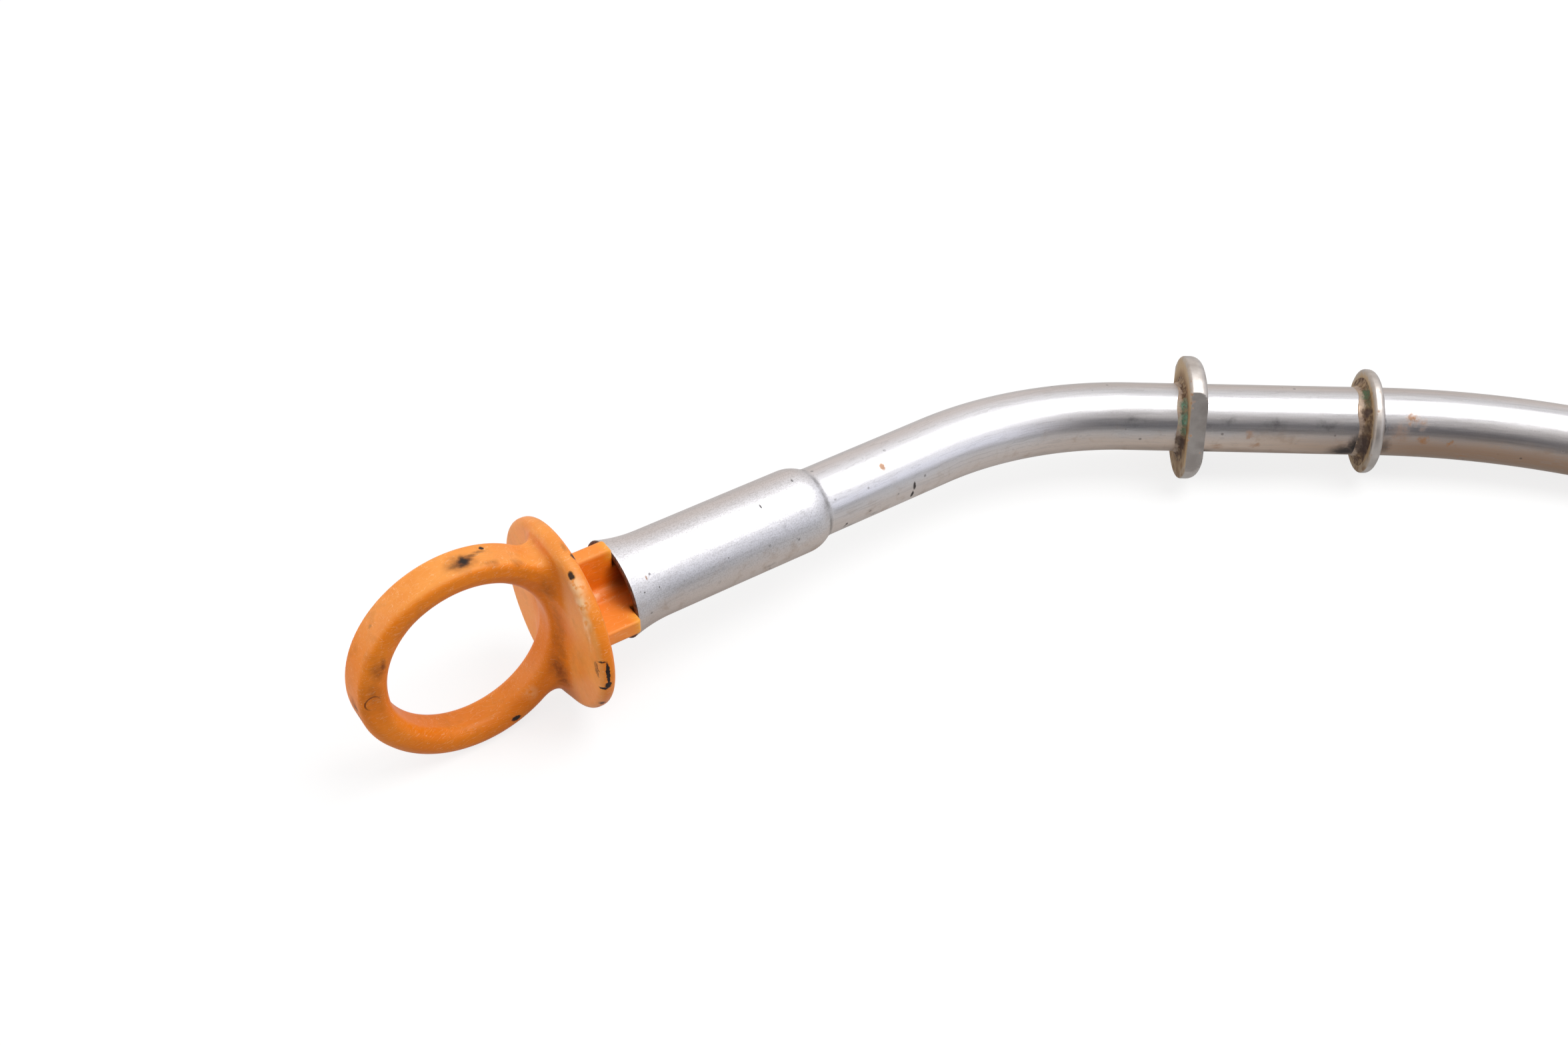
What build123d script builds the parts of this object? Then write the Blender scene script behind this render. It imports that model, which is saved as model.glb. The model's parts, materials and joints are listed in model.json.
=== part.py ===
"""Engine oil dipstick seated in its bent guide tube, lying as it comes to rest.

Millimetres. The tube is drawn first in its own frame: the mouth's rim is at the origin, +X runs down the bore,
both bends turn towards -Y and +Z is square to the plane of the bends. The finished pieces are then set down on
the finger ring, the flatted collar and the tube's lower end, with +Z up and the origin at the bottom centre.
"""
import os
from math import sqrt

from build123d import *

# Guide tube: section
tube_diameter = 10.0
tube_wall = 1.0
bell_diameter = 12.2
bell_wall = 0.8

# Guide tube: lengths along its centre line, from the rim of the mouth
flare_length = 6.3
flare_rise = 0.95
bell_length = 28.85
shoulder_length = 3.9
crown_share = 0.7
upper_straight = 53.25
upper_bend_radius = 50.3
upper_bend_angle = 35.4
middle_straight = 36.5
lower_bend_radius = 105.0
lower_bend_angle = 30.0
lower_straight = 45.0

# Collars brazed to the middle straight, measured from the end of the upper bend
collar_gap = 0.05
flatted_collar_diameter = 18.1
flatted_collar_thickness = 2.65
flatted_collar_offset = 7.5
flatted_collar_across_flats = 13.3
flatted_collar_turn = 18.0
round_collar_diameter = 15.3
round_collar_thickness = 1.65
round_collar_offset = 34.0
collar_edge = 0.2

# Pull handle: flange and finger ring
flange_diameter = 26.7
flange_thickness = 2.35
flange_edge_round = 1.0
ring_opening = 22.4
ring_band = 4.2
ring_width = 5.1
ring_near_round = 2.0
ring_far_round = 1.3
ring_foot = 1.05
ring_notch_round = 1.0
notch_room_share = 0.98
ring_side_round = 1.6

# Pull handle: cross-finned plug
fin_length = 6.55
fin_thickness = 2.2
fin_overhang = 1.1
fin_corner_round = 0.5
core_diameter = 4.6
inner_fin_length = 8.0
plug_clearance = 0.25
land_length = 7.0
nose_length = 8.0
nose_diameter = 6.4
nose_round = 1.0

# Seal ring in the plug's land
seal_cord = 1.8
seal_clearance = 0.05
groove_width = 2.2

# Gauge blade moulded into the plug
blade_width = 4.5
blade_thickness = 0.9
blade_grip = 10.0
blade_reach = 50.0
blade_tip_round_share = 0.49
level_hole_diameter = 1.6
level_hole_from_tip = 8.0
level_hole_pitch = 20.0

# Matching of edges by length or place, and turns of the search for the resting plane
tolerance = 0.001
resting_turns = 12

# Worked out
tube_radius = tube_diameter / 2
bore_radius = tube_radius - tube_wall
bell_radius = bell_diameter / 2
bell_bore_radius = bell_radius - bell_wall
rim_radius = bell_radius + flare_rise
shoulder_end = bell_length + shoulder_length
flange_face = -fin_length - flange_thickness
flange_radius = flange_diameter / 2
ring_inner_radius = ring_opening / 2
ring_outer_radius = ring_inner_radius + ring_band
ring_centre = flange_face - ring_foot - ring_inner_radius
fin_reach = rim_radius + fin_overhang
land_radius = bell_bore_radius - plug_clearance
seal_outer_radius = bell_bore_radius - seal_clearance
seal_middle_radius = seal_outer_radius - seal_cord / 2
groove_radius = seal_outer_radius - seal_cord
land_end = inner_fin_length + land_length
plug_end = land_end + nose_length
seal_place = inner_fin_length + land_length / 2


def centre_line():
    """Straights and bends of the tube's centre line, in order from the mouth."""
    upper = Line((0, 0), (upper_straight, 0))
    upper_bend = JernArc(upper @ 1, upper % 1, upper_bend_radius, -upper_bend_angle)
    middle = Line(upper_bend @ 1, upper_bend @ 1 + (upper_bend % 1) * middle_straight)
    lower_bend = JernArc(middle @ 1, middle % 1, lower_bend_radius, -lower_bend_angle)
    lower = Line(lower_bend @ 1, lower_bend @ 1 + (lower_bend % 1) * lower_straight)
    return upper, upper_bend, middle, lower_bend, lower


upper_run, upper_bend_run, middle_run, lower_bend_run, lower_run = centre_line()


def square_to(run, distance):
    """Plane square to a straight run, this far along it, with its local Y axis up."""
    along = run % 0
    return Plane(origin=run @ 0 + along * distance, x_dir=(-along.Y, along.X, 0), z_dir=along)


def bell_outline(radius, lower_radius):
    """Flare, bell and shoulder of one wall of the bell, from the rim to the plain tube."""
    drop = (radius - lower_radius) * crown_share
    middle = (bell_length + shoulder_length * crown_share, radius - drop)
    flare = TangentArc((flare_length, radius), (0, radius + flare_rise), tangent=(-1, 0))
    side = Line((flare_length, radius), (bell_length, radius))
    crown = TangentArc((bell_length, radius), middle, tangent=(1, 0))
    crease = TangentArc((shoulder_end, lower_radius), middle, tangent=(-1, 0))
    return [flare, side, crown, crease]


def guide_tube():
    """Bell turned about its axis, and a plain tube swept on along the rest of the centre line."""
    outer = bell_outline(bell_radius, tube_radius)
    inner = bell_outline(bell_bore_radius, bore_radius)
    rim = Line((0, bell_bore_radius + flare_rise), (0, rim_radius))
    end = Line((shoulder_end, bore_radius), (shoulder_end, tube_radius))
    bell = revolve(make_face(outer + inner + [rim, end]), Axis.X)
    start = Line((shoulder_end, 0), upper_run @ 1)
    path = Wire([start, upper_bend_run, middle_run, lower_bend_run, lower_run])
    wall = square_to(upper_run, shoulder_end) * (Circle(tube_radius) - Circle(bore_radius))
    return bell + sweep(wall, path=path)


def collar(outline, thickness, offset):
    """Flat collar with its edges broken, standing on the middle straight."""
    disc = extrude(outline - Circle(tube_radius + collar_gap), thickness)
    circles = disc.edges().filter_by(GeomType.CIRCLE)
    rims = [edge for edge in circles if edge.radius > tube_radius + collar_gap + tolerance]
    return square_to(middle_run, offset) * chamfer(rims, collar_edge)


def flatted_collar():
    """Collar with two flats, one turned towards the open side of the bends and a little up."""
    blank = Circle(flatted_collar_diameter / 2)
    flats = Rot(0, 0, -flatted_collar_turn) * Rectangle(flatted_collar_across_flats, flatted_collar_diameter)
    return collar(blank & flats, flatted_collar_thickness, flatted_collar_offset)


def round_collar():
    """Thinner plain collar further down the tube."""
    return collar(Circle(round_collar_diameter / 2), round_collar_thickness, round_collar_offset)


def flange():
    """Round flange with a rolled edge."""
    disc = extrude(Plane.YZ.offset(flange_face) * Circle(flange_radius), flange_thickness)
    return fillet(disc.edges(), flange_edge_round)


def finger_ring():
    """Ring standing upright on the flange and running a little way into it, rounder on the open side of the bends."""
    band = Circle(ring_outer_radius) - Circle(ring_inner_radius)
    hoop = extrude(Plane.XZ * Pos(ring_centre, 0) * band, ring_width / 2, both=True)
    hoop = fillet(hoop.edges().group_by(Axis.Y)[0], ring_near_round)
    hoop = fillet(hoop.edges().group_by(Axis.Y)[-1], ring_far_round)
    reach = ring_outer_radius * 2
    outside = Pos(flange_face + flange_thickness / 2 - reach, 0, 0) * Box(reach * 2, reach * 2, reach * 2)
    return hoop & outside


def cove(corner, first, centre, second, radius):
    """Flat filling of an inside corner, left by a round cutter of this radius that touches both sides."""
    return Polygon(corner, first, centre, second, align=None) - Pos(centre) * Circle(radius)


def ring_side_view():
    """Side view of the ring's root: its outer circle, a strip in the flange and a cove at each notch."""
    half_foot = flange_radius - flange_edge_round
    strip = Pos(flange_face + flange_thickness / 4, 0) * Rectangle(flange_thickness / 2, half_foot * 2)
    view = Pos(ring_centre, 0) * Circle(ring_outer_radius) + strip
    stand_off = flange_face - ring_centre
    half_root_squared = ring_outer_radius**2 - stand_off**2
    widest = (half_foot**2 - half_root_squared) / (ring_outer_radius + stand_off) / 2
    radius = min(ring_notch_round, widest * notch_room_share)
    height = sqrt(half_root_squared + 2 * radius * (ring_outer_radius + stand_off))
    share = ring_outer_radius / (ring_outer_radius + radius)
    for side in (1, -1):
        corner = (flange_face, side * sqrt(half_root_squared))
        on_flange = (flange_face, side * height)
        middle = (flange_face - radius, side * height)
        on_ring = (ring_centre + (stand_off - radius) * share, side * height * share)
        view = view + cove(corner, on_flange, middle, on_ring, radius)
    return view


def ring_top_view():
    """Top view of the ring's root: a tee whose inside corners are coves."""
    half_width = ring_width / 2
    radius = ring_side_round
    foot_width = ring_width + radius * 2
    view = Pos(flange_face - radius / 2, 0) * Rectangle(radius, ring_width)
    view = view + Pos(flange_face + flange_thickness / 4, 0) * Rectangle(flange_thickness / 2, foot_width)
    for side in (1, -1):
        corner = (flange_face, side * half_width)
        on_flange = (flange_face, side * (half_width + radius))
        middle = (flange_face - radius, side * (half_width + radius))
        on_ring = (flange_face - radius, side * half_width)
        view = view + cove(corner, on_flange, middle, on_ring, radius)
    return view


def ring_web():
    """Rounded root between ring and flange: its side view crossed with its top view, less the finger opening."""
    depth = flange_diameter
    sides = extrude(Plane.XZ * ring_side_view(), depth / 2, both=True)
    tops = extrude(ring_top_view(), depth / 2, both=True)
    opening = extrude(Plane.XZ * Pos(ring_centre, 0) * Circle(ring_inner_radius), depth / 2, both=True)
    within = round_bar(flange_radius - flange_edge_round, flange_face - ring_side_round, -fin_length)
    return (sides & tops & within) - opening


def cross(reach, start, end):
    """Four flat fins about the plug's axis."""
    length = end - start
    blade = Pos((start + end) / 2, 0, 0) * Box(length, fin_thickness, reach * 2)
    return blade + Rot(90, 0, 0) * blade


def round_bar(radius, start, end):
    """Cylinder on the plug's axis between two places along it."""
    return extrude(Plane.YZ.offset(start) * Circle(radius), end - start)


def plug():
    """Fins that stop on the rim, smaller fins in the bell, the seal's land and the nose that grips the blade."""
    stop = cross(fin_reach, -fin_length, 0)
    ends = [e for e in stop.edges() if abs(e.center().X) < tolerance]
    corners = [e for e in ends if abs(e.length - fin_thickness) < tolerance]
    stop = fillet(corners, fin_corner_round)
    inner = cross(land_radius, -fin_length, inner_fin_length) & round_bar(land_radius, -fin_length, inner_fin_length)
    core = round_bar(core_diameter / 2, -fin_length, inner_fin_length)
    land = round_bar(land_radius, inner_fin_length, land_end)
    groove = round_bar(land_radius, seal_place - groove_width / 2, seal_place + groove_width / 2)
    land = land - (groove - round_bar(groove_radius, inner_fin_length, land_end))
    nose = round_bar(nose_diameter / 2, land_end, plug_end)
    nose = fillet(nose.edges().sort_by(Axis.X)[-1], nose_round)
    return stop + inner + core + land + nose


def pull_handle(blade):
    """Flange, ring and plug as one moulding, formed round the top of the blade."""
    return flange() + finger_ring() + ring_web() + plug() - blade


def seal_ring():
    """Rubber O-ring in the groove of the plug's land."""
    section = Plane.XY * Pos(seal_place, seal_middle_radius) * Circle(seal_cord / 2)
    return revolve(section, Axis.X)


def gauge_blade():
    """Flat blade on edge along the centre line, with a round tip and two level holes."""
    top = plug_end - blade_grip
    start = Line((top, 0), upper_run @ 1)
    tip = Line(lower_run @ 0, lower_run @ 1 + (lower_run % 1) * blade_reach)
    path = Wire([start, upper_bend_run, middle_run, lower_bend_run, tip])
    strip = sweep(square_to(upper_run, top) * Rectangle(blade_thickness, blade_width), path=path)
    at_tip = square_to(lower_run, lower_straight + blade_reach)
    corners = [e for e in strip.edges() if abs(e.length - blade_thickness) < tolerance]
    corners = [e for e in corners if abs(at_tip.to_local_coords(e.center()).Z) < tolerance]
    strip = fillet(corners, blade_width * blade_tip_round_share)
    for distance in (level_hole_from_tip, level_hole_from_tip + level_hole_pitch):
        hole = Cylinder(level_hole_diameter / 2, blade_width, rotation=(0, 90, 0))
        strip = strip - at_tip * Pos(0, 0, -distance) * hole
    return strip


def lowest_point(disc, up):
    """Lowest point of a thin disc, given as its plane and radius, for this upward direction."""
    plane, radius = disc
    across = up - plane.z_dir * up.dot(plane.z_dir)
    return plane.origin - across.normalized() * radius


def plane_under(discs):
    """Plane that touches three discs from below, found by turning it a little at a time."""
    up = Vector(0, 0, 1)
    for _ in range(resting_turns):
        first, second, third = [lowest_point(disc, up) for disc in discs]
        up = (third - first).cross(second - first).normalized()
    level = Vector(1, 0, 0) - up * up.X
    return Plane(origin=first, x_dir=level, z_dir=up)


def resting_plane():
    """Surface that the part lies on: it touches the ring, the tube's end and the collar that reaches lowest."""
    ring = (Plane(origin=(ring_centre, 0, 0), z_dir=(0, 1, 0)), ring_outer_radius)
    end = (square_to(lower_run, lower_straight), tube_radius)
    flatted_edge = flatted_collar_offset + flatted_collar_thickness - collar_edge
    round_edge = round_collar_offset + round_collar_thickness - collar_edge
    flatted = (square_to(middle_run, flatted_edge), flatted_collar_diameter / 2)
    plain = (square_to(middle_run, round_edge), round_collar_diameter / 2)
    on_flatted = plane_under([ring, flatted, end])
    on_plain = plane_under([ring, plain, end])
    plain_height = on_flatted.to_local_coords(lowest_point(plain, on_flatted.z_dir)).Z
    return on_flatted if plain_height >= 0 else on_plain


def resting_place(pieces):
    """Move from the tube's own frame to the resting one, with the origin at the bottom centre."""
    down = resting_plane().location.inverse()
    boxes = [piece.moved(down).bounding_box() for piece in pieces.values()]
    middle_x = (min(box.min.X for box in boxes) + max(box.max.X for box in boxes)) / 2
    middle_y = (min(box.min.Y for box in boxes) + max(box.max.Y for box in boxes)) / 2
    bottom = min(box.min.Z for box in boxes)
    return Location((-middle_x, -middle_y, -bottom)) * down


def make_pieces():
    """All pieces by name, in the tube's own frame."""
    blade = gauge_blade()
    return {
        "pull_handle": pull_handle(blade),
        "seal_ring": seal_ring(),
        "gauge_blade": blade,
        "guide_tube": guide_tube(),
        "flatted_collar": flatted_collar(),
        "round_collar": round_collar(),
    }


pieces = make_pieces()
place = resting_place(pieces)
os.makedirs("parts", exist_ok=True)
for name, piece in pieces.items():
    export_step(piece.moved(place), f"parts/{name}.step")
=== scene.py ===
"""Looks of an engine oil dipstick in its bent guide tube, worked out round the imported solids.

Lengths are millimetres in the tube's own frame until a piece goes into its mesh: the mouth's rim is at
the origin, +X runs down the bore, both bends turn towards -Y and +Z is square to the plane of the bends.
Every new piece keeps its own millimetres in a mesh attribute, and its finish reads that attribute, so
patterns and marks follow the form. The blade, a copy of its solid, is the one piece that reads Object
coordinates.
"""
import json
from itertools import product
from math import pi, radians, tau

import bpy
import numpy as np
from mathutils import Matrix, Vector


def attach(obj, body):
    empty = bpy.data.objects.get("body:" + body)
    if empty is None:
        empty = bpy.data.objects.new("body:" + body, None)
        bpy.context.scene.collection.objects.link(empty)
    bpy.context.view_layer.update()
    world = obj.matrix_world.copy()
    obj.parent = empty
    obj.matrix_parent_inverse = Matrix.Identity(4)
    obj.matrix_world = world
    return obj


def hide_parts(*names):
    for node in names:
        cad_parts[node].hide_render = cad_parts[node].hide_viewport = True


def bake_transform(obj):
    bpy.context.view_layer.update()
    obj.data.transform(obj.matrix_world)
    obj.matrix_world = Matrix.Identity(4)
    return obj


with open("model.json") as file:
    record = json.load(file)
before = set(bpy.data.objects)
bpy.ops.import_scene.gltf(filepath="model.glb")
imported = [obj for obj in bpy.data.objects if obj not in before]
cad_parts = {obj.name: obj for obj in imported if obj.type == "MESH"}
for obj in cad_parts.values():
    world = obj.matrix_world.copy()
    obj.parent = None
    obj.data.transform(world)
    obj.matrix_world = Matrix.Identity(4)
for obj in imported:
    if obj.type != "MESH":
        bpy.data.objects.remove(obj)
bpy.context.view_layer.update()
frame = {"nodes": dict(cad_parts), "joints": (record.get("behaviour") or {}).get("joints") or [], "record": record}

# One millimetre in metres, how deep the points of the mouth's rim lie in metres, and the way up
mm = 0.001
rim_depth = 1e-5
straight_up = np.array((0.0, 0.0, 1.0))

# Guide tube: section, then lengths along its centre line from the rim
tube_radius = 5.0
bore_radius = 4.0
bell_radius = 6.1
bell_bore_radius = 5.3
flare_length = 6.3
flare_rise = 0.95
bell_length = 28.85
shoulder_length = 3.9
crown_share = 0.7
lip_round = 0.3
upper_straight = 53.25
upper_bend_radius = 50.3
upper_bend_angle = 35.4
middle_straight = 36.5
lower_bend_radius = 105.0
lower_bend_angle = 30.0
lower_straight = 45.0
tube_waviness = 0.012
tube_wave_pace = (0.16, 2.0)
tube_wave_seed = 3
lip_rows = 6
flare_rows = 18
bell_rows = 52
shoulder_rows = 36
bend_rows = 60
lower_rows = 130
tube_facets = 144

# Collars on the middle straight, measured from the end of the upper bend, and the braze in front of them
collar_gap = 0.05
flatted_collar_radius = 9.05
flatted_collar_edges = ((0.4, 0.4), (1.5, 1.3))
flatted_collar_thickness = 2.65
flatted_collar_offset = 7.5
flatted_collar_half_flats = 6.65
flatted_collar_turn = 18.0
round_collar_radius = 7.65
round_collar_edges = ((0.4, 0.45), (0.9, 0.9))
round_collar_thickness = 1.65
round_collar_offset = 34.0
upper_braze_size = (1.1, 1.3)
lower_braze_size = (1.5, 1.4)
braze_wander = (0.2, 0.3)
braze_wander_pace = 2.4
braze_crust_pace = (9.0, 4.0)
upper_braze_seed = 11
lower_braze_seed = 21
braze_highest = 1.6
braze_crust_height = 0.09
braze_buried = 0.1
collar_facets = 720
collar_edge_rows = 8
collar_rim_rows = 5
collar_face_shares = (0.0, 0.25, 0.5, 0.75, 0.94)
collar_crease = 30.0
braze_facets = 360
braze_rows = 15

# Pull handle
flange_radius = 13.35
flange_thickness = 2.35
flange_edge_round = 1.0
ring_inner_radius = 11.2
ring_band = 4.185
ring_width = 5.1
ring_near_inner_rounds = (1.6, 2.8)
ring_near_outer_rounds = (0.9, 2.0)
ring_near_inner_rise = 10.0
ring_near_outer_fall = 9.0
ring_far_inner_round = 1.3
ring_far_outer_round = 0.6
ring_foot = 1.05
ring_root_rounds = (0.5, 3.3)
ring_root_from = 0.2
ring_root_run = 1.6
fin_length = 6.55
fin_thickness = 2.2
fin_reach = 8.15
fin_corner_round = 0.5
fin_edge_round = 0.22
fin_root_round = 0.3
core_radius = 2.7
inner_fin_length = 8.0
inner_fin_sunk = 1.0
land_radius = 5.05
land_length = 7.0
land_edge_round = 0.3
nose_length = 8.0
nose_radius = 3.2
nose_round = 1.0
moulding_step = 0.26
moulding_low_margin = 1.03
moulding_high_margin = 1.0

# Seal ring
seal_cord_radius = 0.9
seal_middle_radius = 4.35
groove_half_width = 1.1
groove_radius = 3.45
seal_facets = 144
seal_cord_facets = 32

# Blade: its merging grid and crease
blade_merge_grid = 1e7
blade_crease = 30.0

# Camera, fitted to the photograph, in the tube's own frame
photo_width = 2352.0
photo_focal_length = 2700.0
sensor_width = 36.0
camera_place = np.array((-76.923, -157.27, 163.076))
camera_right = np.array((0.8339, -0.55191, 0.0012))
camera_forward = np.array((0.41686, 0.62842, -0.65674))
camera_near = 0.005

# Lamp and floor: places and sizes in metres, brightness as levels of white
lamp_aside = 0.26
lamp_ahead = -0.045
lamp_height = 0.62
lamp_size = 0.44
lamp_level = 5.0
floor_half_width = 4.0
floor_bounce = 0.45
floor_shade = 0.25
floor_glow = 0.78
floor_near_glow = 0.43
floor_far_glow = 0.0
floor_glow_fades = (0.0, 0.056)

# Surround: its colours, then the bright spot in degrees and all else as parts of a direction
surround_pale = (0.92, 0.86, 0.82, 1.0)
surround_bright = (1.22, 1.21, 1.2, 1.0)
surround_right = (1.12, 1.14, 1.24, 1.0)
surround_dark = (0.2, 0.195, 0.205, 1.0)
surround_lit = (0.55, 0.55, 0.55, 1.0)
surround_left = (3.5, 3.5, 3.5, 1.0)
surround_lit_right = (1.1, 1.1, 1.1, 1.0)
surround_unlit = (0.27, 0.27, 0.27, 1.0)
bright_aside = 30.0
bright_ahead = -9.0
bright_core = 24.0
bright_edge = 60.0
patch_middle = 0.10
patch_core = 0.24
patch_edge = 0.62
patch_low_top = 0.30
patch_top = 0.80
patch_ahead = (0.0, 0.3)
right_aside = (0.35, 0.8)
lit_right_aside = (0.3, 0.75)
lit_left_aside = (-0.58, -0.96)
lit_side_heights = (0.6, 0.2)

# Unevenness: slowest and fastest pace of its waves, how many there are and what their sum is divided by
wave_paces = (0.6, 2.2)
wave_count = 5
wave_share = 2.6

# Worked out
middle_start = upper_straight + upper_bend_radius * radians(upper_bend_angle)
tube_length = middle_start + middle_straight + lower_bend_radius * radians(lower_bend_angle) + lower_straight
shoulder_end = bell_length + shoulder_length
flange_face = -fin_length - flange_thickness
ring_centre = flange_face - ring_foot - ring_inner_radius
ring_outer_radius = ring_inner_radius + ring_band
land_end = inner_fin_length + land_length
plug_end = land_end + nose_length
seal_place = inner_fin_length + land_length / 2
flatted_collar_place = middle_start + flatted_collar_offset
round_collar_place = middle_start + round_collar_offset


def unit(vector):
    """The same direction with a length of one."""
    return vector / np.linalg.norm(vector)


def node_points(name):
    """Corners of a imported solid's mesh, in metres."""
    mesh = frame["nodes"][name].data
    flat = np.empty(len(mesh.vertices) * 3, np.float32)
    mesh.vertices.foreach_get("co", flat)
    return flat.reshape(-1, 3).astype(float)


def tube_axes():
    """Axes of the tube's own frame: the bore, the way across it in the bends' plane, that plane's normal."""
    bore = -unit(np.array(frame["joints"][0]["axis"]))
    lower_end = next(mount for mount in frame["record"]["mounts"] if mount["name"] == "lower_end")
    normal = unit(np.cross(lower_end["axis"], bore))
    return np.array((bore, np.cross(normal, bore), normal))


def rim_centre():
    """Middle of the mouth: half-way between the extremes of the mesh that lies furthest up the bore."""
    own = node_points("guide_tube") @ axes.T
    rim = own[own[:, 0] < own[:, 0].min() + rim_depth]
    return (rim.min(0) + rim.max(0)) / 2 @ axes


axes = tube_axes()
rim_place = rim_centre()


def to_row(points):
    """Points in the tube's own millimetres as metres in the row frame."""
    return rim_place + np.asarray(points) @ axes * mm


def centre_line(distance):
    """Point and sideways direction of the centre line: straights run on, bends turn right at their radius."""
    runs = (
        (upper_straight, 0.0),
        (upper_bend_radius * radians(upper_bend_angle), 1 / upper_bend_radius),
        (middle_straight, 0.0),
        (lower_bend_radius * radians(lower_bend_angle), 1 / lower_bend_radius),
        (np.inf, 0.0),
    )
    x, y = np.zeros_like(distance), np.zeros_like(distance)
    heading, start = np.zeros_like(distance), 0.0
    for length, turn in runs:
        gone = np.clip(distance - start, 0, length)
        middle = heading - gone * turn / 2
        chord = gone * np.sinc(gone * turn / tau)
        x, y = x + chord * np.cos(middle), y + chord * np.sin(middle)
        heading, start = heading - gone * turn, start + length
    line = np.stack((x, y, np.zeros_like(x)), -1)
    sideways = np.stack((-np.sin(heading), np.cos(heading), np.zeros_like(x)), -1)
    return line, sideways


def laid_along(distance, side, up):
    """Points of a straight tube laid along the centre line: its middle, so far sideways and so far up."""
    line, sideways = centre_line(distance)
    return line + side[..., None] * sideways + up[..., None] * straight_up


def waves(first, second, seed):
    """Smooth unevenness between about -1 and 1: a few sine waves whose pace and phase come from a seed."""
    draw = np.random.default_rng(seed)
    pace = draw.uniform(*wave_paces, (wave_count, 2))
    phase = draw.uniform(0, tau, wave_count)
    rows = [np.sin(a * first + b * second + c) for (a, b), c in zip(pace, phase)]
    return np.sum(rows, 0) / wave_share


def round_angles(count):
    """So many even angles once round."""
    return np.arange(count) / count * tau


def loop_faces(rows, columns):
    """Four-cornered faces of a grid that closes on itself both ways."""
    row, column = np.meshgrid(np.arange(rows), np.arange(columns), indexing="ij")
    after_row, after_column = (row + 1) % rows, (column + 1) % columns
    corners = ((row, column), (row, after_column), (after_row, after_column), (after_row, column))
    return np.stack([r * columns + c for r, c in corners], -1).reshape(-1, 4)


def facing_out(points, faces):
    """The same faces, turned over if the volume that they enclose comes out negative."""
    a, b, c, d = (points[faces[:, k]] for k in range(4))
    volume = np.einsum("ij,ij->i", np.cross(c - a, d - b), a + b + c + d).sum()
    return faces if volume > 0 else faces[:, ::-1]


def placed(name, data):
    """Object with this data, put into the scene."""
    thing = bpy.data.objects.new(name, data)
    bpy.context.scene.collection.objects.link(thing)
    return thing


def piece(name, points, faces, own, crease=None):
    """A finished piece: its points put into the row frame, its own millimetres kept as an attribute."""
    faces = facing_out(points, faces)
    mesh = bpy.data.meshes.new(name)
    mesh.from_pydata(to_row(points), [], faces)
    kept = mesh.attributes.new("own_mm", "FLOAT_VECTOR", "POINT")
    kept.data.foreach_set("vector", np.ascontiguousarray(own, np.float32).ravel())
    mesh.shade_smooth()
    if crease:
        mesh.set_sharp_from_angle(angle=radians(crease))
    mesh.validate()
    return placed(name, mesh)


def ring_of_sections(name, place, along, radius, angle, crease=None):
    """Closed grid of radius and angle about a straight tube, laid along the centre line from a place."""
    side, up = radius * np.cos(angle), radius * np.sin(angle)
    own = np.stack((along, side, up), -1).reshape(-1, 3)
    points = laid_along(place + along, side, up).reshape(-1, 3)
    return piece(name, points, loop_faces(*along.shape), own, crease)


def arc_fall(gone, run, fall):
    """Fall of a round arc that starts level and comes down by this fall over this run."""
    radius = (run**2 + fall**2) / (2 * fall)
    return radius - np.sqrt(radius**2 - np.clip(gone, 0, run) ** 2)


def wall_radius(distance, bell, plain):
    """Radius of one wall: a flare of one arc, the bell, a shoulder of a long and a short arc, plain tube."""
    crown_run, crown_fall = shoulder_length * crown_share, (bell - plain) * crown_share
    crease_run, crease_fall = shoulder_length - crown_run, bell - plain - crown_fall
    flare = arc_fall(flare_length - distance, flare_length, flare_rise)
    crown = arc_fall(distance - bell_length, crown_run, crown_fall)
    crease = arc_fall(shoulder_end - distance, crease_run, crease_fall)
    return np.where(distance < bell_length + crown_run, bell + flare - crown, plain + crease)


def tube_loop():
    """Closed outline of the wall as distance and radius: outer wall, lower end, inner wall, rounded lip."""
    turn = np.linspace(0, pi / 2, lip_rows)
    mouth = np.concatenate((
        np.linspace(lip_round, flare_length, flare_rows),
        np.linspace(flare_length, bell_length, bell_rows)[1:],
        np.linspace(bell_length, shoulder_end, shoulder_rows)[1:],
    ))
    below = np.concatenate((
        np.linspace(shoulder_end, middle_start, bend_rows)[1:],
        np.linspace(middle_start, tube_length - lip_round, lower_rows)[1:],
    ))
    fine = np.concatenate((mouth, below))
    coarse = np.concatenate((mouth[::2], below[::3], below[-1:]))[::-1]
    outer = wall_radius(fine, bell_radius, tube_radius)
    inner = wall_radius(coarse, bell_bore_radius, bore_radius)
    low = tube_length - lip_round
    distance = (
        fine,
        low + lip_round * np.sin(turn[1:]),
        low + lip_round * np.cos(turn[:-1]),
        coarse,
        lip_round - lip_round * np.sin(turn[1:]),
        lip_round - lip_round * np.cos(turn[:-1]),
    )
    radius = (
        outer,
        tube_radius - lip_round + lip_round * np.cos(turn[1:]),
        bore_radius + lip_round - lip_round * np.sin(turn[:-1]),
        inner,
        inner[-1] + lip_round - lip_round * np.cos(turn[1:]),
        outer[0] - lip_round + lip_round * np.sin(turn[:-1]),
    )
    return np.concatenate(distance), np.concatenate(radius), len(fine)


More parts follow.
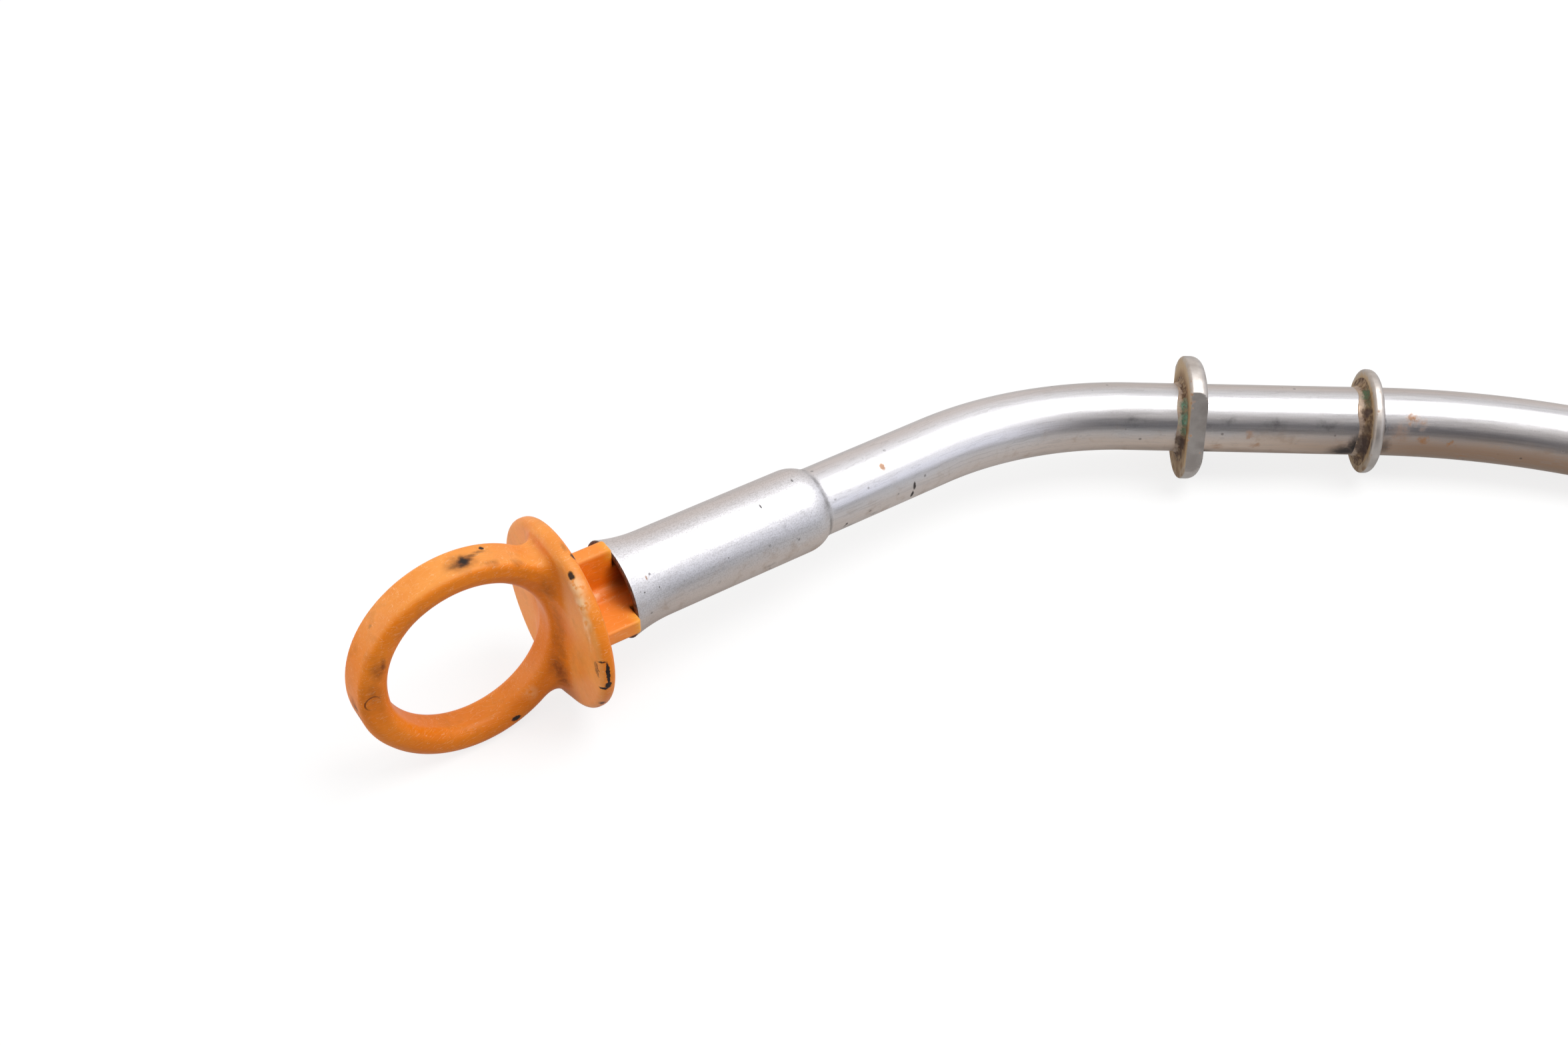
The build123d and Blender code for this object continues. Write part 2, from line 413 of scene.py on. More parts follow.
def guide_tube():
    """Wall's outline carried round the centre line, a hair uneven as drawn tube is."""
    distance, radius, outer_count = tube_loop()
    distance, angle = np.meshgrid(distance, round_angles(tube_facets), indexing="ij")
    uneven = waves(distance * tube_wave_pace[0], angle * tube_wave_pace[1], tube_wave_seed)
    radius = radius[:, None] - tube_waviness * (1 + uneven) / 2
    tube = ring_of_sections("drawn_tube", 0.0, distance, radius, angle)
    inside = np.ones(distance.shape, np.float32)
    inside[:outer_count] = 0
    kept = tube.data.attributes.new("bare_inside", "FLOAT", "POINT")
    kept.data.foreach_set("value", inside.ravel())
    return tube


def collar(name, place, thickness, radius, edges, flats=None):
    """Collar: at each angle a box section, its outer edges rounded by quarter ovals, cut off by flats."""
    angle = round_angles(collar_facets)
    reach = np.full_like(angle, radius) if flats is None else flats(angle)
    inner = tube_radius + collar_gap
    (front, front_drop), (back, back_drop) = edges
    turn = np.linspace(0, pi / 2, collar_edge_rows)
    share = np.array(collar_face_shares)
    across = np.linspace(front, thickness - back, collar_rim_rows)[1:-1]
    profile = np.concatenate((
        radius - front_drop + front_drop * np.sin(turn),
        np.full_like(across, radius),
        radius - back_drop + back_drop * np.sin(turn[::-1]),
    ))
    rim = np.minimum(profile[:, None], reach[None, :])
    front_face = inner + share[:, None] * (rim[:1] - inner)
    back_face = inner + share[::-1, None] * (rim[-1:] - inner)
    along = np.concatenate((
        np.zeros_like(share),
        front - front * np.cos(turn),
        across,
        thickness - back + back * np.cos(turn[::-1]),
        np.full_like(share, thickness),
    ))
    out = np.concatenate((front_face, rim, back_face))
    along, angle = np.broadcast_arrays(along[:, None], angle[None, :])
    return ring_of_sections(name, place, along, out, angle, collar_crease)


def collar_flats(angle):
    """How far out two flats leave the collar, one turned to the open side of the bends and a little up."""
    from_flat = np.abs(np.cos(angle + radians(flatted_collar_turn)))
    return flatted_collar_half_flats / np.maximum(from_flat, 0.1)


def braze(name, place, run, rise, seed):
    """Fillet of braze: a hollow quarter arc from tube to collar whose legs and skin wander round the tube."""
    angle = round_angles(braze_facets)
    turn = np.linspace(0, pi / 2, braze_rows)[:, None]
    slow = np.cos(angle) * braze_wander_pace, np.sin(angle) * braze_wander_pace
    run = run * (1 + braze_wander[0] * waves(*slow, seed))
    rise = np.minimum(rise * (1 + braze_wander[1] * waves(*slow, seed + 1)), braze_highest)
    round_pace, climb_pace = braze_crust_pace
    skin = waves(np.cos(angle) * round_pace, np.sin(angle) * round_pace + turn * climb_pace, seed + 2)
    crust = braze_crust_height * skin
    along = -run * (1 - np.sin(turn)) + crust * np.sin(turn) * np.cos(turn)
    out = rise * (1 - np.cos(turn)) - crust * np.cos(turn) * np.sin(turn)
    level = np.zeros_like(angle)[None, :]
    deep = level + braze_buried
    along = np.concatenate((along, deep, deep, level - run))
    radius = tube_radius + np.concatenate((out, level + rise, -deep, -deep))
    angle = angle[None, :] + np.zeros_like(along)
    return ring_of_sections(name, place, along, radius, angle)


def seal_ring():
    """Cord of round section bent into a ring: one angle goes round the plug, the other round the cord."""
    around, about = np.meshgrid(round_angles(seal_facets), round_angles(seal_cord_facets), indexing="ij")
    radius = seal_middle_radius + seal_cord_radius * np.cos(about)
    along = seal_place + seal_cord_radius * np.sin(about)
    points = np.stack((along, radius * np.cos(around), radius * np.sin(around)), -1).reshape(-1, 3)
    return piece("plug_seal", points, loop_faces(*around.shape), points)


def rounded(radius, first, second):
    """Distance from a shape with rounded edges, from how far a point lies beyond two of its faces."""
    first, second = first + radius, second + radius
    outside = np.hypot(np.maximum(first, 0), np.maximum(second, 0))
    return outside + np.minimum(np.maximum(first, second), 0) - radius


def joined(first, second, radius):
    """Distance from two shapes run together, with a cove of this radius in the corner between them."""
    cove = np.sqrt(np.maximum(radius - first, 0) ** 2 + np.maximum(radius - second, 0) ** 2)
    return np.maximum(radius, np.minimum(first, second)) - cove


def fins(x, y, z, reach, start, end, corner):
    """Distance from four flat fins about the axis: two slabs with rounded corners and edges."""
    length = np.abs(x - (start + end) / 2) - (end - start) / 2
    upright = rounded(corner, np.abs(z) - reach, length)
    level = rounded(corner, np.abs(y) - reach, length)
    half = fin_thickness / 2
    return np.minimum(
        rounded(fin_edge_round, upright, np.abs(y) - half),
        rounded(fin_edge_round, level, np.abs(z) - half),
    )


def bar(x, out, radius, start, end, edge):
    """Distance from a round bar on the axis with rounded ends."""
    return rounded(edge, out - radius, np.abs(x - (start + end) / 2) - (end - start) / 2)


def eased(pair, share):
    """Number on the way from the first of a pair to the second."""
    return pair[0] + (pair[1] - pair[0]) * np.clip(share, 0, 1)


def finger_ring(x, y, z):
    """Distance from the ring: a box section, each edge with its own round; two rounds change with height."""
    from_middle = np.hypot(x - ring_centre, z) - ring_inner_radius - ring_band / 2
    near_outer = eased(ring_near_outer_rounds, -z / ring_near_outer_fall)
    near_inner = eased(ring_near_inner_rounds, z / ring_near_inner_rise)
    near_round = np.where(from_middle > 0, near_outer, near_inner)
    far_round = np.where(from_middle > 0, ring_far_outer_round, ring_far_inner_round)
    edge_round = np.where(y < 0, near_round, far_round)
    return rounded(edge_round, np.abs(from_middle) - ring_band / 2, np.abs(y) - ring_width / 2)


def moulding(x, y, z):
    """Distance from the handle: ring, flange, fins, core, inner fins, grooved land and nose run together."""
    out = np.hypot(y, z)
    ring = finger_ring(x, y, z)
    flange = bar(x, out, flange_radius, flange_face, -fin_length, flange_edge_round)
    into_band = np.hypot(x - ring_centre, z) - ring_inner_radius
    root = eased(ring_root_rounds, (into_band - ring_root_from) / ring_root_run)
    grip = joined(ring, flange, root)
    sunk = -fin_length - flange_thickness / 2
    stop = fins(x, y, z, fin_reach, sunk, 0.0, fin_corner_round)
    core = bar(x, out, core_radius, sunk, inner_fin_length, fin_edge_round)
    inner = fins(x, y, z, land_radius, sunk, inner_fin_length + inner_fin_sunk, fin_edge_round)
    inner = np.maximum(inner, out - land_radius)
    land = bar(x, out, land_radius, inner_fin_length, land_end, land_edge_round)
    groove = np.maximum(np.abs(x - seal_place) - groove_half_width, groove_radius - out)
    land = np.maximum(land, -groove)
    nose = bar(x, out, nose_radius, seal_place, plug_end, nose_round)
    shank = np.minimum(joined(np.minimum(stop, inner), core, fin_root_round), np.minimum(land, nose))
    return joined(grip, shank, fin_root_round)


def crossings(value, inside, axis):
    """Where the grid's edges along one axis cross the surface, the share before it and which start inside."""
    first, second = [slice(None)] * 3, [slice(None)] * 3
    first[axis], second[axis] = slice(None, -1), slice(1, None)
    first, second = tuple(first), tuple(second)
    crossed = inside[first] != inside[second]
    gap = np.where(crossed, value[first] - value[second], 1)
    return crossed, np.where(crossed, value[first] / gap, 0), inside[first]


def net_cells(value, inside):
    """Middle of the crossings on each grid cell's edges, in grid steps, with how many crossings it has."""
    cells = tuple(n - 1 for n in value.shape)
    total, count = np.zeros((3, *cells), np.float32), np.zeros(cells, np.float32)
    steps = np.indices(cells, np.float32, sparse=True)
    for axis in range(3):
        crossed, share, _ = crossings(value, inside, axis)
        others = ((axis + 1) % 3, (axis + 2) % 3)
        for shift in product((0, 1), repeat=2):
            window = [slice(None)] * 3
            for other, by in zip(others, shift):
                window[other] = slice(by, by + cells[other])
            hit = crossed[tuple(window)].astype(np.float32)
            count += hit
            total[axis] += share[tuple(window)] + steps[axis] * hit
            for other, by in zip(others, shift):
                total[other] += (steps[other] + by) * hit
    return total, count


def net_faces(value, inside, number):
    """One face across each crossed edge, between the four cells round it, turned away from the inside."""
    faces = []
    for axis in range(3):
        crossed, _, starts_inside = crossings(value, inside, axis)
        second, third = (axis + 1) % 3, (axis + 2) % 3
        place = np.argwhere(crossed)
        corners = []
        for back_second, back_third in ((1, 1), (0, 1), (0, 0), (1, 0)):
            cell = place.copy()
            cell[:, second] -= back_second
            cell[:, third] -= back_third
            corners.append(number[tuple(cell.T)])
        quads = np.stack(corners, -1)
        outward = starts_inside[tuple(place.T)]
        faces.append(np.where(outward[:, None], quads, quads[:, ::-1]))
    return np.concatenate(faces)


def drawn_onto(distance_from, points, rounds=4, small=0.02, least=0.25):
    """Points moved along the slope of a distance until it is nought."""
    for _ in range(rounds):
        slope = np.stack([
            distance_from(*(points + small * way).T) - distance_from(*(points - small * way).T)
            for way in np.eye(3)
        ], -1) / (2 * small)
        length = np.maximum((slope**2).sum(-1), least)
        move = distance_from(*points.T) / length
        points = points - np.clip(move, -moulding_step, moulding_step)[:, None] * slope
    return points


def pull_handle():
    """Handle: the surface where its distance is nought, netted on a grid, then drawn onto the true one."""
    ring_end = ring_centre - ring_outer_radius
    low = np.array((ring_end, -flange_radius, -ring_outer_radius)) - moulding_low_margin
    high = np.array((plug_end, flange_radius, ring_outer_radius)) + moulding_high_margin
    ways = [np.arange(a, b, moulding_step, np.float32) for a, b in zip(low, high)]
    value = moulding(*np.meshgrid(*ways, indexing="ij", sparse=True))
    inside = value < 0
    total, count = net_cells(value, inside)
    used = count > 0
    number = np.cumsum(used).reshape(used.shape) - 1
    points = low + moulding_step * (total[:, used] / count[used]).T.astype(float)
    points = drawn_onto(moulding, points)
    return piece("handle_moulding", points, net_faces(value, inside, number), points)


def gauge_blade():
    """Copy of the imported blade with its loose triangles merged."""
    packed = frame["nodes"]["gauge_blade"].data
    corners = node_points("gauge_blade")
    places, number = np.unique((corners * blade_merge_grid).round(), axis=0, return_inverse=True)
    faces = np.empty(len(packed.loops), np.int32)
    packed.loops.foreach_get("vertex_index", faces)
    faces = number.ravel()[faces].reshape(-1, 3)
    faces = faces[(faces != np.roll(faces, 1, 1)).all(1)]
    mesh = bpy.data.meshes.new("rolled_blade")
    mesh.from_pydata(places / blade_merge_grid, [], faces)
    mesh.shade_smooth()
    mesh.set_sharp_from_angle(angle=radians(blade_crease))
    return placed("rolled_blade", mesh)


class Nodes:
    """Short calls that add nodes to a tree."""

    def __init__(self, tree):
        self.tree = tree

    def put(self, socket, value):
        """Link a socket into another, or set its constant."""
        if isinstance(value, bpy.types.NodeSocket):
            self.tree.links.new(value, socket)
        else:
            socket.default_value = value

    def node(self, kind, inputs, **settings):
        """Add a node with these settings and inputs."""
        made = self.tree.nodes.new("ShaderNode" + kind)
        for name, value in settings.items():
            setattr(made, name, value)
        for key, value in inputs.items():
            self.put(made.inputs[key], value)
        return made

    def maths(self, operation, first, second=0.0):
        """Result of a calculation with numbers."""
        return self.node("Math", {0: first, 1: second}, operation=operation).outputs[0]

    def vectors(self, operation, first, second=(0.0, 0.0, 0.0), result=0):
        """Result of a calculation with vectors."""
        return self.node("VectorMath", {0: first, 1: second}, operation=operation).outputs[result]

    def own(self):
        """The piece's own millimetres."""
        return self.node("Attribute", {}, attribute_name="own_mm").outputs["Vector"]

    def object_mm(self):
        """Object coordinates as millimetres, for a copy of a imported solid."""
        place = self.node("TexCoord", {}).outputs["Object"]
        return self.stretched(place, (1 / mm, 1 / mm, 1 / mm))

    def stretched(self, vector, by):
        """A vector with each part multiplied."""
        return self.vectors("MULTIPLY", vector, by)

    def length(self, vector):
        """Length of a vector."""
        return self.vectors("LENGTH", vector, result="Value")

    def parts(self, vector):
        """The three parts of a vector."""
        return self.node("SeparateXYZ", {0: vector}).outputs

    def noise(self, vector, scale, detail=3.0, rough=0.55):
        """Cloudy noise from 0 to 1."""
        inputs = {"Vector": vector, "Scale": scale, "Detail": detail, "Roughness": rough}
        return self.node("TexNoise", inputs).outputs["Fac"]

    def sum(self, first, second):
        """Two numbers added."""
        return self.maths("ADD", first, second)

    def times(self, result, *others):
        """Numbers multiplied."""
        for other in others:
            result = self.maths("MULTIPLY", result, other)
        return result

    def most(self, result, *others):
        """The largest of some numbers."""
        for other in others:
            result = self.maths("MAXIMUM", result, other)
        return result

    def swayed(self, value, cloud, reach):
        """A number moved up and down by a cloud, over this reach in all."""
        return self.sum(value, self.times(self.sum(cloud, -0.5), reach))

    def ramp(self, value, low, high, start=0.0, end=1.0):
        """Smooth step from start to end as a value goes from low to high."""
        inputs = {"Value": value, "From Min": low, "From Max": high, "To Min": start, "To Max": end}
        return self.node("MapRange", inputs, interpolation_type="SMOOTHSTEP").outputs[0]

    def spread(self, cloud, start=0.0, end=1.0):
        """A cloud spread over the whole way from start to end."""
        return self.ramp(cloud, 0.3, 0.7, start, end)

    def mix(self, share, first, second):
        """Colour between two colours."""
        made = self.node("Mix", {0: share, 6: first, 7: second}, data_type="RGBA")
        return made.outputs[2]

    def between(self, share, first, second):
        """Number between two numbers."""
        return self.node("Mix", {0: share, 2: first, 3: second}, data_type="FLOAT").outputs[0]

    def wandering(self, vector, scale, reach):
        """A vector moved about by noise, so that what is measured from it gets a ragged edge."""
        inputs = {"Vector": vector, "Scale": scale, "Detail": 3.0}
        cloud = self.node("TexNoise", inputs).outputs["Color"]
        moved = self.stretched(self.vectors("SUBTRACT", cloud, (0.5, 0.5, 0.5)), (reach, reach, reach))
        return self.vectors("ADD", vector, moved)

    def mark(self, vector, centre, reach, soft=0.5):
        """One inside an oval of these half lengths, fading to nought over its outer share."""
        away = self.vectors("SUBTRACT", vector, centre)
        shrunk = self.stretched(away, tuple(1.0 / r for r in reach))
        return self.ramp(self.length(shrunk), 1.0 - soft, 1.0, 1.0, 0.0)

    def marks(self, vector, rows):
        """The strongest of some marks at each place; a row is centre, half lengths, softness and strength."""
        return self.most(*(self.times(self.mark(vector, *row), strength) for *row, strength in rows))

    def along(self, vector, way):
        """How far a vector goes along a direction."""
        return self.vectors("DOT_PRODUCT", vector, np.asarray(way).tolist(), "Value")

    def out_from_axis(self, vector):
        """How far a point of the straightened tube lies from its axis."""
        return self.length(self.stretched(vector, (0.0, 1.0, 1.0)))

    def away_from(self, value, place):
        """How far a number lies from a place, either way."""
        return self.maths("ABSOLUTE", self.sum(value, -place))

    def specks(self, vector, scale, size):
        """Scattered round specks: one at the heart of a few cells, nought elsewhere."""
        heart = self.node("TexVoronoi", {"Vector": vector, "Scale": scale}).outputs["Distance"]
        return self.ramp(heart, size * 0.55, size, 1.0, 0.0)

    def lines(self, vector, stretch, scale, width):
        """Thin wandering lines, where a stretched cloud passes its middle."""
        cloud = self.noise(self.stretched(self.wandering(vector, 0.3, 0.8), stretch), scale, 1.0)
        return self.ramp(self.away_from(cloud, 0.5), width * 0.4, width, 1.0, 0.0)

    def arc(self, vector, centre, radius, width, side):
        """Part of a thin circle lying in the ring's plane, kept where an oval to one side of it reaches."""
        flat = self.stretched(self.vectors("SUBTRACT", vector, centre), (1.0, 0.0, 1.0))
        line = self.ramp(self.away_from(self.length(flat), radius), width * 0.4, width, 1.0, 0.0)
        return self.times(line, self.marks(vector, (side,)))

    def bump(self, height, depth_mm, under=None):
        """Relief of a height from 0 to 1, as deep as given."""
        linked = isinstance(depth_mm, bpy.types.NodeSocket)
        depth = self.times(depth_mm, mm) if linked else depth_mm * mm
        inputs = {"Height": height, "Distance": depth, "Strength": 1.0}
        if under is not None:
            inputs["Normal"] = under
        return self.node("Bump", inputs).outputs["Normal"]

    def seen(self):
        """One for rays from the camera, from mirrors and through glass, nought for the rest."""
        path = self.node("LightPath", {}).outputs
        return self.most(path["Is Camera Ray"], path["Is Glossy Ray"], path["Is Transmission Ray"])


class Finish(Nodes):
    """A procedural finish: one principled shader and the nodes that drive it."""

    def __init__(self, name, **constants):
        self.material = bpy.data.materials.new(name)
        self.material.use_nodes = True
        super().__init__(self.material.node_tree)
        self.shader = self.tree.nodes["Principled BSDF"]
        for socket, value in constants.items():
            self.shade(socket.replace("_", " "), value)

    def shade(self, socket, value):
        """Give the shader's own socket a value."""
        self.put(self.shader.inputs[socket], value)

    def ground(self, share, first, second):
        """Start with a colour between two colours."""
        self.colour = self.mix(share, first, second)

    def coat(self, share, colour):
        """Lay a colour over what is there, as thickly as its share says."""
        self.colour = self.mix(share, self.colour, colour)

    def done(self, metal, rough, relief):
        """The finished material: its coats, and how metallic, rough and raised it is."""
        self.shade("Base Color", self.colour)
        self.shade("Metallic", metal)
        self.shade("Roughness", rough)
        self.shade("Normal", relief)
        return self.material


def paint(red, green, blue):
    """A colour as it is seen, from 0 to 255, for a node."""
    seen = np.array((red, green, blue)) / 255
    light = np.where(seen < 0.04045, seen / 12.92, ((seen + 0.055) / 1.055) ** 2.4)
    return (*light.tolist(), 1.0)


# Colours as they are seen
plastic_deep = paint(228, 122, 18)
plastic_pale = paint(238, 133, 27)
# Pale for scuffing and for painted highlights
plastic_scuffed_and_lit = paint(255, 214, 166)
plastic_fresh = paint(248, 132, 24)
# Paler orange: random grain tone, and painted light on lit faces
plastic_bleached_and_lit = paint(252, 188, 112)
plastic_yellow = paint(246, 176, 62)
# Brown of the painted shade at the tube's mouth
mouth_shade_brown = paint(84, 32, 8)
arc_brown = paint(112, 58, 22)
# Brown of the film and smudges, and of the painted shade in the ring's root
grime_and_shade_brown = paint(122, 60, 20)
# Black for tar, dark specks and the painted shade in the tube's crease
tar_and_shade_black = paint(38, 28, 24)
steel_deep = paint(182, 181, 184)
steel_pale = paint(196, 195, 197)
steel_dull = paint(150, 147, 147)
# Film colour, also painted floor reflection on the tube's underside
steel_film_and_reflection = paint(202, 182, 166)
# Deeper brown, partly painted shade under the tube
steel_brown_and_shade = paint(132, 100, 74)
steel_bright = paint(216, 215, 219)
tan_stain = paint(158, 130, 104)
soot_grey = paint(44, 40, 40)
rust_brown = paint(164, 116, 74)
mouth_dark = paint(58, 38, 28)
mouth_brown = paint(118, 78, 56)
plated_deep = paint(172, 165, 160)
plated_pale = paint(191, 185, 180)
collar_tan = paint(172, 146, 112)
collar_brown = paint(120, 86, 48)
braze_tan = paint(150, 124, 92)
braze_brown = paint(84, 58, 38)
verdigris_deep = paint(62, 96, 74)
verdigris_pale = paint(106, 142, 118)
olive_deep = paint(40, 56, 34)
olive_pale = paint(72, 96, 64)
rubber_black = paint(20, 20, 21)
rubber_grey = paint(46, 45, 43)
rubber_oil = paint(30, 22, 14)
blade_deep = paint(148, 145, 140)
blade_pale = paint(182, 179, 174)
blade_oil = paint(150, 112, 62)

# Marks, in a piece's own millimetres: centre, half lengths, softness, strength
tar_marks = (
    ((-19.75, -0.35, 15.3), (0.75, 1.5, 0.9), 0.75, 1.0),
    ((-19.7, -0.3, 15.3), (1.5, 0.75, 0.9), 0.8, 1.0),
    ((-20.2, -1.0, 15.2), (1.0, 0.7, 0.9), 0.85, 0.9),
    ((-21.0, -0.7, 15.4), (1.3, 0.8, 0.9), 0.95, 0.6),
    ((-18.5, 0.25, 15.2), (1.5, 0.55, 0.9), 0.95, 0.65),
    ((-17.3, 0.65, 14.9), (1.3, 0.45, 0.9), 0.95, 0.55),
    ((-16.65, 1.26, 14.75), (0.42, 0.42, 0.7), 0.45, 0.98),
    ((-32.45, 0.4, 10.5), (0.35, 0.35, 0.5), 0.8, 0.3),
    ((-36.2, -0.7, -0.6), (0.7, 1.0, 0.4), 0.6, 0.85),
    ((-36.1, -1.0, -2.0), (0.7, 1.0, 0.45), 0.6, 0.8),
    ((-16.65, -2.4, -12.6), (0.85, 0.75, 0.55), 0.4, 1.0),
    ((-8.35, -6.26, 11.66), (0.52, 0.68, 0.8), 0.45, 0.97),
    ((-6.68, -3.96, 12.4), (0.55, 0.65, 0.8), 0.5, 0.95),
    ((-7.9, -13.1, 0.0), (0.32, 0.9, 2.4), 0.3, 1.0),
    ((-7.95, -13.0, -2.0), (0.55, 0.9, 0.75), 0.35, 1.0),
    ((-8.4, -12.85, 2.15), (0.70, 0.9, 0.18), 0.5, 0.9),
    ((-8.92, -12.3, 0.6), (0.1, 0.9, 1.8), 0.5, 0.6),
    ((-8.35, -12.7, -2.6), (0.72, 0.9, 0.3), 0.4, 1.0),
    ((-8.25, -11.6, -6.7), (0.60, 0.9, 0.8), 0.7, 0.85),
    ((-7.25, -2.5, 13.06), (0.5, 1.6, 0.5), 0.9, 0.3),
)
brown_smudges_and_root_shade = (
    ((-32.75, -2.3, 6.1), (0.7, 1.2, 1.9), 0.95, 0.95),
    ((-33.35, -2.4, 5.4), (1.7, 1.2, 2.4), 0.98, 0.65),
    ((-34.6, -2.5, 2.4), (2.0, 1.2, 3.2), 0.95, 0.45),
    ((-36.4, 0.0, -0.8), (0.8, 1.6, 2.4), 0.95, 0.7),
    ((-35.4, -1.6, 3.6), (0.7, 0.7, 0.8), 0.9, 0.5),
    ((-16.95, -1.85, 14.6), (1.9, 0.9, 0.9), 0.95, 0.6),
    ((-13.6, -1.9, 13.2), (1.6, 0.8, 0.9), 0.95, 0.45),
    ((-20.0, -0.5, 15.3), (2.9, 2.2, 1.6), 0.98, 0.85),
    # Painted shade: these four rows darken the valley where the ring runs into the flange.
    ((-9.9, -3.1, -6.5), (1.9, 1.9, 3.4), 0.98, 0.85),
    ((-9.6, -3.3, -8.6), (1.5, 1.7, 1.8), 0.98, 0.8),
    ((-9.8, -3.1, -1.0), (1.7, 1.8, 9.0), 0.98, 0.6),
    ((-10.2, -3.0, 7.5), (1.8, 1.6, 3.2), 0.95, 0.45),
    ((-30.8, -1.5, -10.6), (1.4, 1.2, 1.2), 0.95, 0.35),
)
# Pale marks: the first row is a scuff; the flange-rim rows are scuffing with a painted sheen; the last row is a
# painted highlight along the core.
pale_wear_and_highlights = (
    ((-14.05, -2.3, -9.5), (1.6, 0.9, 1.3), 0.9, 0.3),
    ((-8.4, -7.6, 11.0), (1.4, 2.0, 2.2), 0.98, 0.8),
    ((-8.7, -9.2, 9.4), (1.3, 1.9, 2.6), 0.98, 0.9),
    ((-8.9, -10.2, 6.8), (0.9, 1.3, 2.4), 0.98, 0.75),
    ((-8.9, -10.9, 4.2), (0.8, 0.5, 2.2), 0.98, 0.6),
    ((-4.0, -1.8, 2.0), (2.6, 1.0, 1.0), 0.95, 0.85),
)
arc_centre = (-34.85, -2.5, 0.9)
arc_radius = 1.06
arc_width = 0.14
arc_side = ((-35.2, -2.5, 1.3), (1.55, 1.6, 1.55), 0.5, 0.85)
soot_smudges = (
    ((84.35, -4.31, 2.51), (2.6, 1.6, 1.1), 0.95, 0.8),
    ((98.0, -4.21, 2.68), (1.5, 1.6, 0.9), 0.9, 0.85),
    ((104.8, -4.38, 2.39), (2.6, 1.6, 1.0), 0.9, 0.9),
    ((112.0, -4.4, 2.35), (2.2, 1.6, 1.0), 0.9, 0.85),
    ((94.6, -4.5, 2.0), (1.2, 1.6, 1.0), 0.9, 0.6),
    ((120.6, -4.6, 2.0), (0.9, 1.6, 1.7), 0.9, 0.7),
    ((35.3, -4.2, -2.6), (1.8, 1.4, 0.9), 0.9, 0.8),
    ((39.2, -4.4, -2.2), (2.6, 1.4, 0.8), 0.95, 0.6),
    ((27.55, -4.82, 3.71), (0.7, 1.0, 0.6), 0.9, 0.6),
    ((24.1, -5.12, 3.3), (0.5, 1.0, 0.9), 0.9, 0.45),
    ((21.4, -5.84, -1.9), (1.6, 1.2, 0.5), 0.9, 0.7),
    ((12.95, -6.04, -0.81), (0.5, 1.0, 0.5), 0.9, 0.5),
    ((15.75, -3.5, 4.98), (0.9, 1.0, 0.25), 0.9, 0.4),
)
rust_spots = (
    ((124.6, -3.73, 3.32), (1.3, 1.4, 1.2), 0.95, 0.9),
    ((126.2, -3.9, 2.9), (1.1, 1.4, 1.2), 0.95, 0.6),
    ((126.5, -4.97, 0.6), (1.2, 1.4, 0.9), 0.95, 0.9),
    ((123.0, -4.6, 1.8), (2.2, 1.6, 2.2), 0.95, 0.45),
    ((130.65, -5.0, 0.22), (0.6, 1.0, 0.7), 0.8, 0.9),
    ((133.0, -4.6, -2.0), (0.9, 1.2, 0.4), 0.9, 0.8),
    ((101.1, -4.92, 0.86), (0.9, 1.2, 0.8), 0.9, 0.55),
    ((102.35, -4.82, -1.29), (1.0, 1.2, 0.8), 0.9, 0.55),
    ((96.8, -4.7, -1.7), (1.6, 1.2, 0.7), 0.9, 0.4),
)
rust_specks = (
    ((2.9, -4.39, 4.25), (0.22, 0.6, 0.4), 0.5, 0.75),
    ((41.95, -2.79, 4.13), (0.6, 0.8, 0.9), 0.6, 0.85),
)
dark_specks = (
    ((1.3, -5.4, 3.42), (0.14, 0.5, 0.14), 0.5, 0.9),
    ((1.95, -5.5, 3.05), (0.16, 0.5, 0.16), 0.5, 0.9),
    ((4.3, -5.46, 2.71), (0.13, 0.5, 0.13), 0.5, 0.8),
    ((7.95, -5.71, 2.09), (0.1, 0.5, 0.1), 0.5, 0.6),
    ((14.9, -5.55, 2.52), (0.13, 0.5, 0.13), 0.5, 0.8),
    ((22.15, -2.21, 5.69), (0.17, 0.5, 0.3), 0.5, 0.75),
    ((28.45, -0.37, 6.08), (0.16, 0.4, 0.4), 0.5, 0.7),
    ((34.75, -4.72, -1.61), (0.3, 0.6, 0.3), 0.5, 0.9),
    ((46.2, -4.97, 0.2), (0.3, 0.5, 0.9), 0.5, 0.95),
    ((46.0, -4.65, -1.3), (0.34, 0.6, 1.0), 0.5, 1.0),
    ((43.4, -5.0, 0.0), (0.25, 0.5, 0.25), 0.8, 0.4),
)
# Darker patches on the tube by the collars
dark_by_collars = (
    ((91.2, -5.0, 0.3), (0.9, 1.3, 1.9), 0.9, 0.9),
    ((117.2, -4.9, -1.0), (2.2, 2.2, 3.2), 0.75, 1.0),
    ((115.6, -4.4, -2.2), (3.3, 2.2, 2.3), 0.85, 1.0),
    ((120.5, -4.3, 2.6), (0.6, 1.5, 3.0), 0.9, 0.7),
    ((121.0, -5.0, -1.0), (1.5, 1.6, 2.6), 0.95, 0.5),
    ((95.4, -3.6, -3.4), (1.7, 2.0, 1.6), 0.95, 0.6),
    ((94.4, -4.9, 1.0), (0.5, 1.4, 3.4), 0.95, 0.45),
)
upper_greens = (
    ((-0.4, -3.0, 4.5), (1.6, 1.3, 1.3), 0.7, 0.9),
    ((-0.4, -4.6, 3.0), (1.6, 1.3, 1.9), 0.7, 1.0),
    ((-0.4, -5.4, 1.5), (1.6, 1.2, 1.0), 0.8, 0.8),
)
